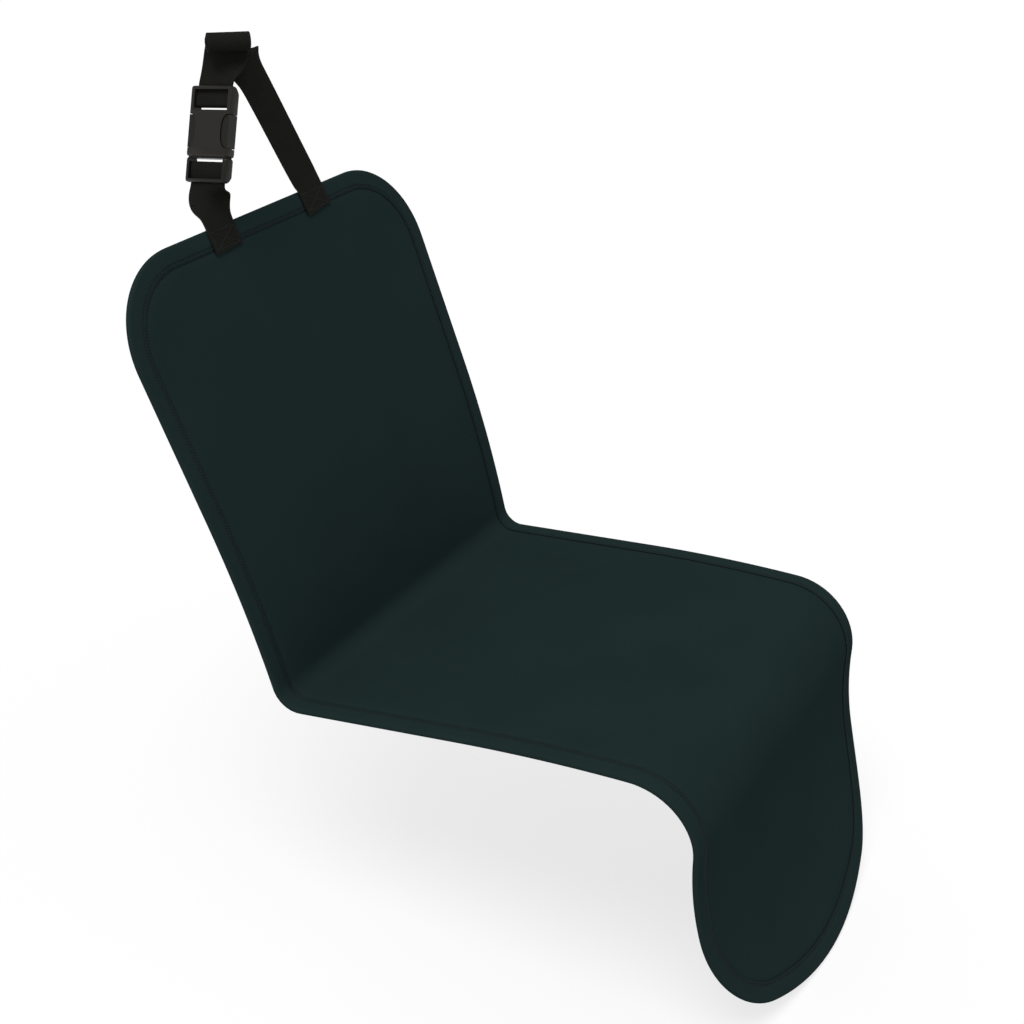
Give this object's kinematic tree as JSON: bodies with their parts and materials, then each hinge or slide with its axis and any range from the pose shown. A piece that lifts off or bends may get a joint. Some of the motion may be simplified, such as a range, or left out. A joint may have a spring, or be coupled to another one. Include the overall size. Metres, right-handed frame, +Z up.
{
  "type": "dog car seat cover",
  "caption": "Padded cloth cover for one car seat, bound at its edge, with a buckled headrest strap.",
  "frame": {"origin": "underside of the seat part, in the middle of its straight stretch", "axes": "+Z up, -Y towards the front of the seat, +X across the seat, in the shape that the cover takes on the seat"},
  "size_m": [0.58, 0.9036, 0.9977],
  "materials": {
    "cloth": "smooth dense knit over foam, dark teal black",
    "backing": "thin cloth with small anti-slip dots",
    "binding": "folded binding tape with two rows of stitching",
    "webbing": "black ribbed webbing",
    "buckle": "satin moulded plastic"
  },
  "bodies": {
    "root": {"face_panel": "cloth", "backing_panel": "backing", "edge_binding": "binding", "short_strap": "webbing", "long_strap": "webbing", "buckle_socket": "buckle", "buckle_plug": "buckle"}
  },
  "joints": []
}
